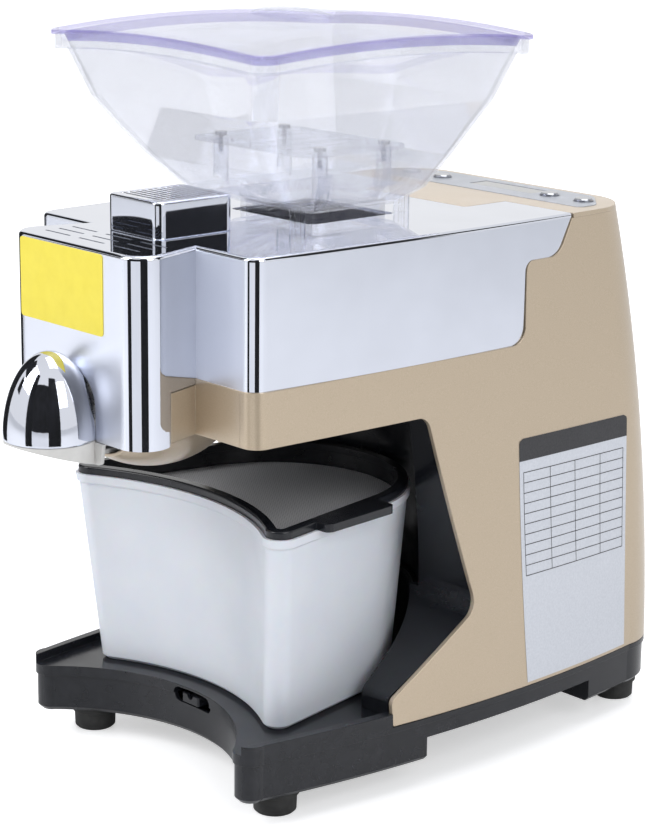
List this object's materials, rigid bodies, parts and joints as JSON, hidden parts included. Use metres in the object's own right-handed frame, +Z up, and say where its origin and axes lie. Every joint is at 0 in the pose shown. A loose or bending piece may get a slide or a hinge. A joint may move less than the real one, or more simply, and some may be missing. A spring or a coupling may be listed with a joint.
{
  "type": "screw oil press",
  "caption": "Table-top screw press for seed oil: clear hopper and lid, lift-off polished cover, pull-out oil container with strainer, geared press screw.",
  "frame": {"origin": "bottom centre of the whole machine, on the table plane", "axes": "+Z up, front with the residue outlet towards -Y, the machine's left-right width along X"},
  "size_m": [0.228, 0.4097, 0.4224],
  "materials": {
    "gold_paint": "satin",
    "chrome": "polished",
    "black_plastic": "matte",
    "grey_panel": "satin",
    "clear_plastic": "clear",
    "white_translucent": "translucent",
    "pale_plastic": "satin",
    "rubber_black": "matte",
    "steel": "brushed",
    "cast_metal": "cast",
    "gear_steel": "machined",
    "board_green": "matte",
    "screen_black": "gloss",
    "button_metal": "polished"
  },
  "bodies": {
    "frame": {"side_panel_right": "gold_paint", "side_panel_left": "gold_paint", "rear_cover": "gold_paint", "arm_front_right": "gold_paint", "arm_front_left": "gold_paint", "deck_cover": "gold_paint", "barrel_guard": "gold_paint", "base_tray": "black_plastic", "base_tub": "black_plastic", "tray_hook": "black_plastic", "column_cover": "black_plastic", "underside_cover": "black_plastic", "power_inlet": "black_plastic", "switch_frame": "black_plastic", "control_panel": "grey_panel", "outlet_chute": "pale_plastic", "foot_front_left": "rubber_black", "foot_front_right": "rubber_black", "foot_rear_left": "rubber_black", "foot_rear_right": "rubber_black", "foot_screws": "steel", "rear_cover_screws": "steel", "gearbox_screws": "steel", "press_barrel": "steel", "outlet_nozzle": "steel", "barrel_collar": "steel", "heater_band": "steel", "temperature_sensor": "steel", "feed_neck": "steel", "drive_stand": "steel", "motor_can": "steel", "gearbox_housing": "cast_metal", "gearbox_cover": "cast_metal", "output_bearing_front": "gear_steel", "output_bearing_rear": "gear_steel", "circuit_board": "board_green", "display_window": "screen_black"},
    "cover": {"chrome_cover": "chrome", "cover_cap": "chrome", "outlet_hood": "chrome"},
    "hopper_unit": {"hopper": "clear_plastic", "guard_plate": "clear_plastic", "guard_screws": "steel"},
    "lid": {"hopper_lid": "clear_plastic"},
    "screw": {"press_screw": "steel", "output_shaft": "steel", "output_gear": "gear_steel"},
    "layshaft": {"intermediate_shaft": "gear_steel", "intermediate_gear": "gear_steel"},
    "motor": {"motor_rotor": "cast_metal", "motor_fan": "black_plastic", "motor_pinion": "gear_steel"},
    "container": {"oil_container": "white_translucent"},
    "strainer": {"strainer_frame": "black_plastic", "strainer_mesh": "steel"},
    "button_one": {"button_1": "button_metal"},
    "button_two": {"button_2": "button_metal"},
    "button_three": {"button_3": "button_metal"},
    "button_four": {"button_4": "button_metal"},
    "rocker": {"power_rocker": "black_plastic"}
  },
  "joints": [
    {"name": "cover_lift", "type": "slide", "parent": "frame", "child": "cover", "axis": [0, 0, 1], "range_m": [0, 0.12]},
    {"name": "hopper_lift", "type": "slide", "parent": "cover", "child": "hopper_unit", "axis": [0, 0, 1], "range_m": [0, 0.06]},
    {"name": "lid_lift", "type": "slide", "parent": "hopper_unit", "child": "lid", "axis": [0, 0, 1], "range_m": [0, 0.05]},
    {"name": "container_slide", "type": "slide", "parent": "frame", "child": "container", "axis": [0, -1, 0], "range_m": [0, 0.2]},
    {"name": "strainer_lift", "type": "slide", "parent": "container", "child": "strainer", "axis": [0, 0, 1], "range_m": [0, 0.012]},
    {"name": "screw_spin", "type": "hinge", "parent": "frame", "child": "screw", "pos_m": [0, 0, 0.222], "axis": [0, 1, 0], "continuous": true},
    {"name": "intermediate_spin", "type": "hinge", "parent": "frame", "child": "layshaft", "pos_m": [0, 0, 0.156], "axis": [0, 1, 0], "continuous": true},
    {"name": "motor_spin", "type": "hinge", "parent": "frame", "child": "motor", "pos_m": [0, 0, 0.108], "axis": [0, 1, 0], "continuous": true},
    {"name": "button_1_press", "type": "slide", "parent": "frame", "child": "button_one", "axis": [0, 0, -1], "range_m": [0, 0.0008], "stiffness_N_per_m": 900, "springref_m": -0.001},
    {"name": "button_2_press", "type": "slide", "parent": "frame", "child": "button_two", "axis": [0, 0, -1], "range_m": [0, 0.0008], "stiffness_N_per_m": 900, "springref_m": -0.001},
    {"name": "button_3_press", "type": "slide", "parent": "frame", "child": "button_three", "axis": [0, 0, -1], "range_m": [0, 0.0008], "stiffness_N_per_m": 900, "springref_m": -0.001},
    {"name": "button_4_press", "type": "slide", "parent": "frame", "child": "button_four", "axis": [0, 0, -1], "range_m": [0, 0.0008], "stiffness_N_per_m": 900, "springref_m": -0.001},
    {"name": "rocker_tilt", "type": "hinge", "parent": "frame", "child": "rocker", "pos_m": [-0.037, 0.1959, 0.073], "axis": [-1, 0, 0], "range_deg": [0, 12]}
  ],
  "couplings": [
    {"joint": "intermediate_spin", "follows": "screw_spin", "ratio": -4.5},
    {"joint": "motor_spin", "follows": "screw_spin", "ratio": 22.5}
  ]
}
